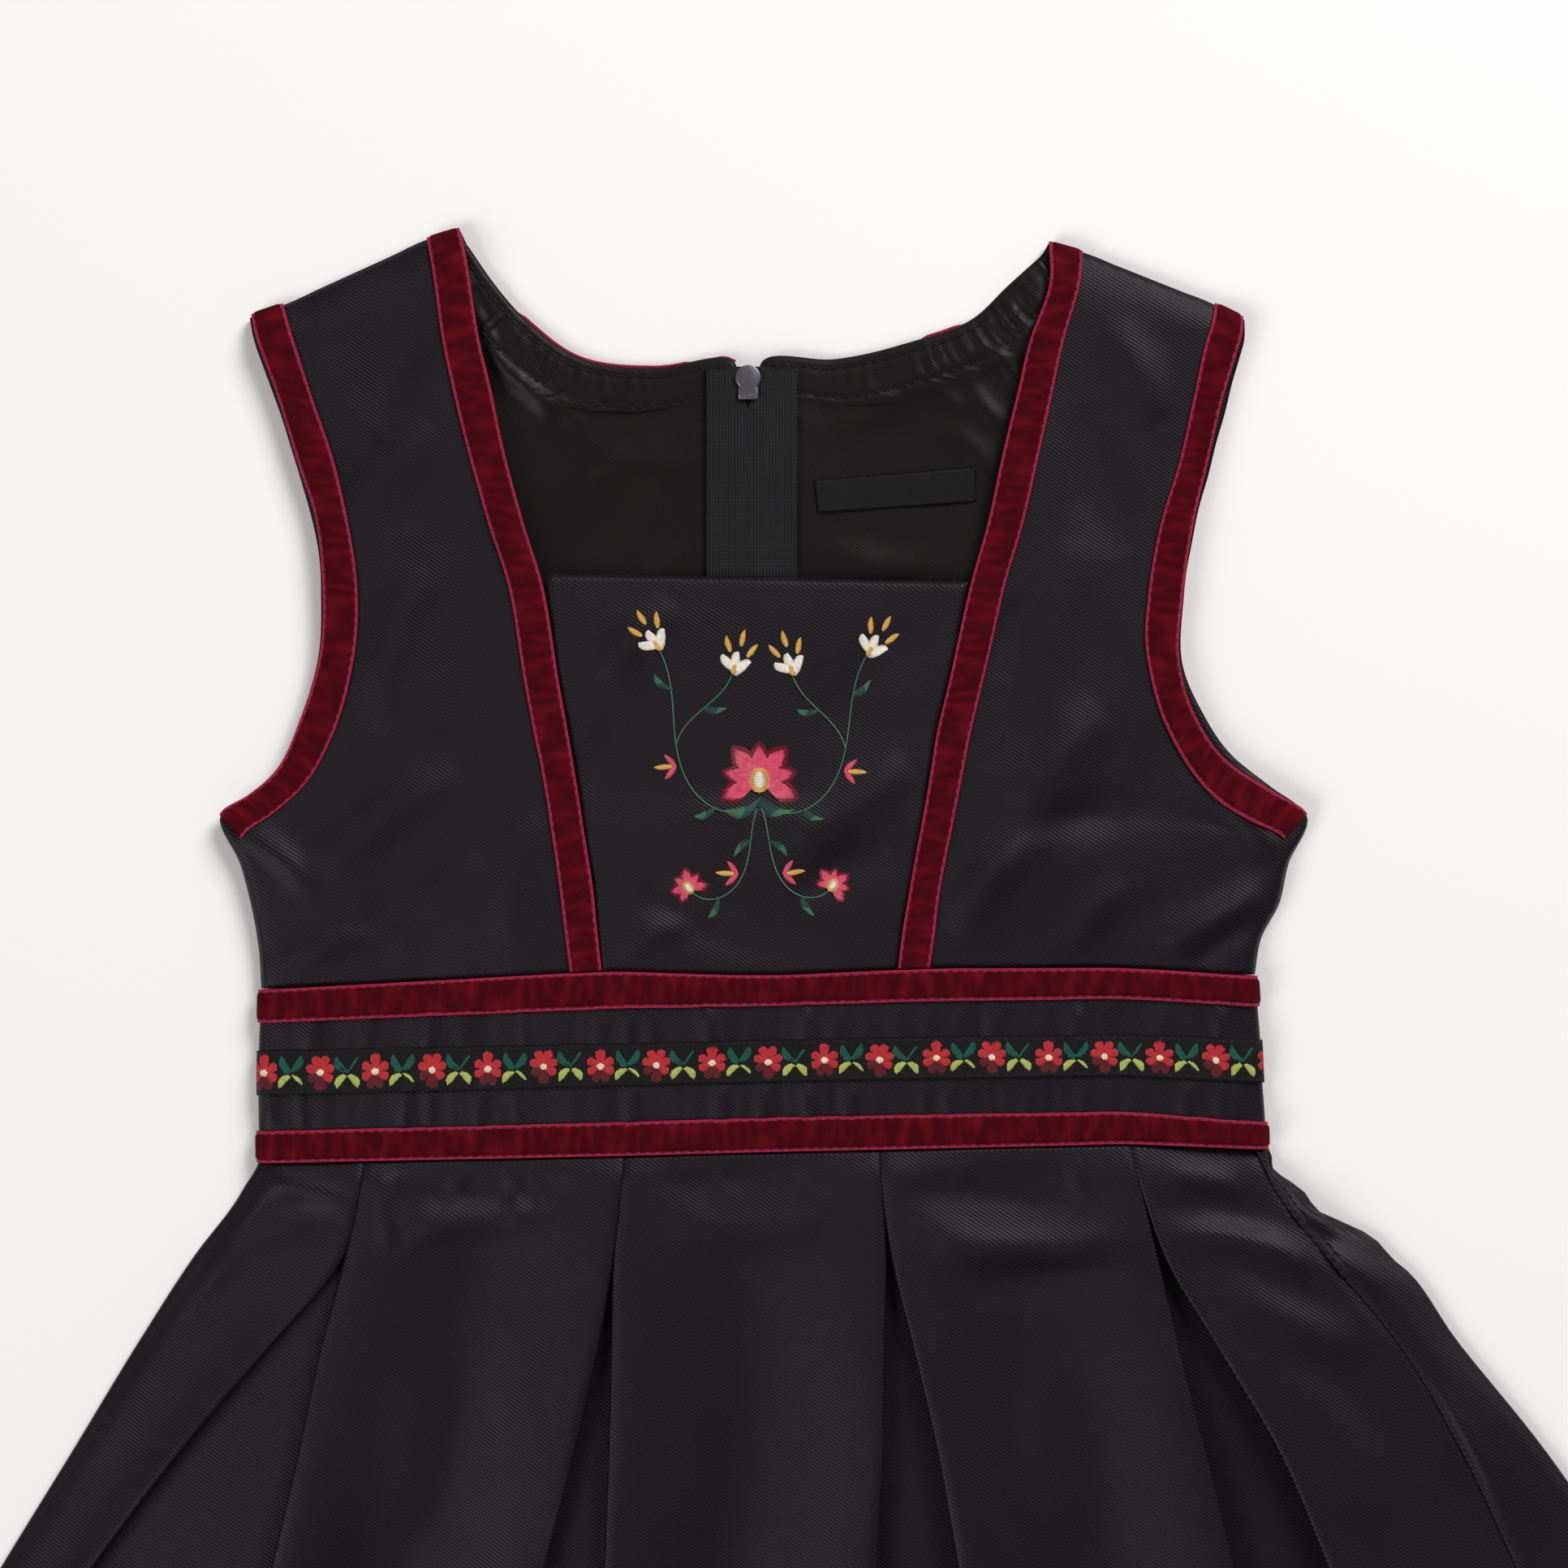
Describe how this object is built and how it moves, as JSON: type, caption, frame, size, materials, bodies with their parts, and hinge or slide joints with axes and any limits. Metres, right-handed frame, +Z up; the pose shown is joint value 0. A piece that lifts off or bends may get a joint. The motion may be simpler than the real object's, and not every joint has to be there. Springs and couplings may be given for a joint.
{
  "type": "folk dress",
  "caption": "Child's sleeveless folk dress laid flat on its back: panelled bodice with ribbon trims, waistband and box-pleated skirt, zipped at the back.",
  "frame": {"origin": "centre of the bounding box's footprint, on the surface that the back rests on", "axes": "+X across the dress (to the right as seen from above), +Y from hem to neck, +Z up out of the front"},
  "size_m": [0.7206, 0.6826, 0.0078],
  "materials": {
    "twill": "black satin-faced twill",
    "velvet": "burgundy velvet ribbon with raspberry edges",
    "jacquard": "black jacquard ribbon with red and cream flowers",
    "lining": "smooth dark lining",
    "zip_tape": "dark grey knitted zip tape",
    "zip_metal": "grey painted die-cast metal",
    "label": "plain black woven satin"
  },
  "bodies": {
    "dress": {"armhole_velvet_back_left": "velvet", "armhole_velvet_back_right": "velvet", "armhole_velvet_front_left": "velvet", "armhole_velvet_front_right": "velvet", "back_left": "twill", "back_right": "twill", "front_center": "twill", "front_side_left": "twill", "front_side_right": "twill", "jacquard_ribbon_back_left": "jacquard", "jacquard_ribbon_back_right": "jacquard", "jacquard_ribbon_front": "jacquard", "lining_left": "lining", "lining_right": "lining", "neck_label": "label", "neck_velvet_back_left": "velvet", "neck_velvet_back_right": "velvet", "neck_velvet_front_left": "velvet", "neck_velvet_front_right": "velvet", "skirt_back_left": "twill", "skirt_back_right": "twill", "skirt_front": "twill", "waist_velvet_lower_back_left": "velvet", "waist_velvet_lower_back_right": "velvet", "waist_velvet_lower_front": "velvet", "waist_velvet_upper_back_left": "velvet", "waist_velvet_upper_back_right": "velvet", "waist_velvet_upper_front": "velvet", "waistband_back_left": "twill", "waistband_back_right": "twill", "waistband_front": "twill", "zip_chain": "zip_tape", "zip_slider": "zip_metal", "zip_tape_left": "zip_tape", "zip_tape_right": "zip_tape"},
    "zip_pull": {"zip_pull_tab": "zip_metal"}
  },
  "joints": [
    {"name": "zip_pull_swing", "type": "hinge", "parent": "dress", "child": "zip_pull", "pos_m": [-0.0171, 0.2979, 0.0012], "axis": [1, 0, 0], "range_deg": [0, 175]}
  ]
}
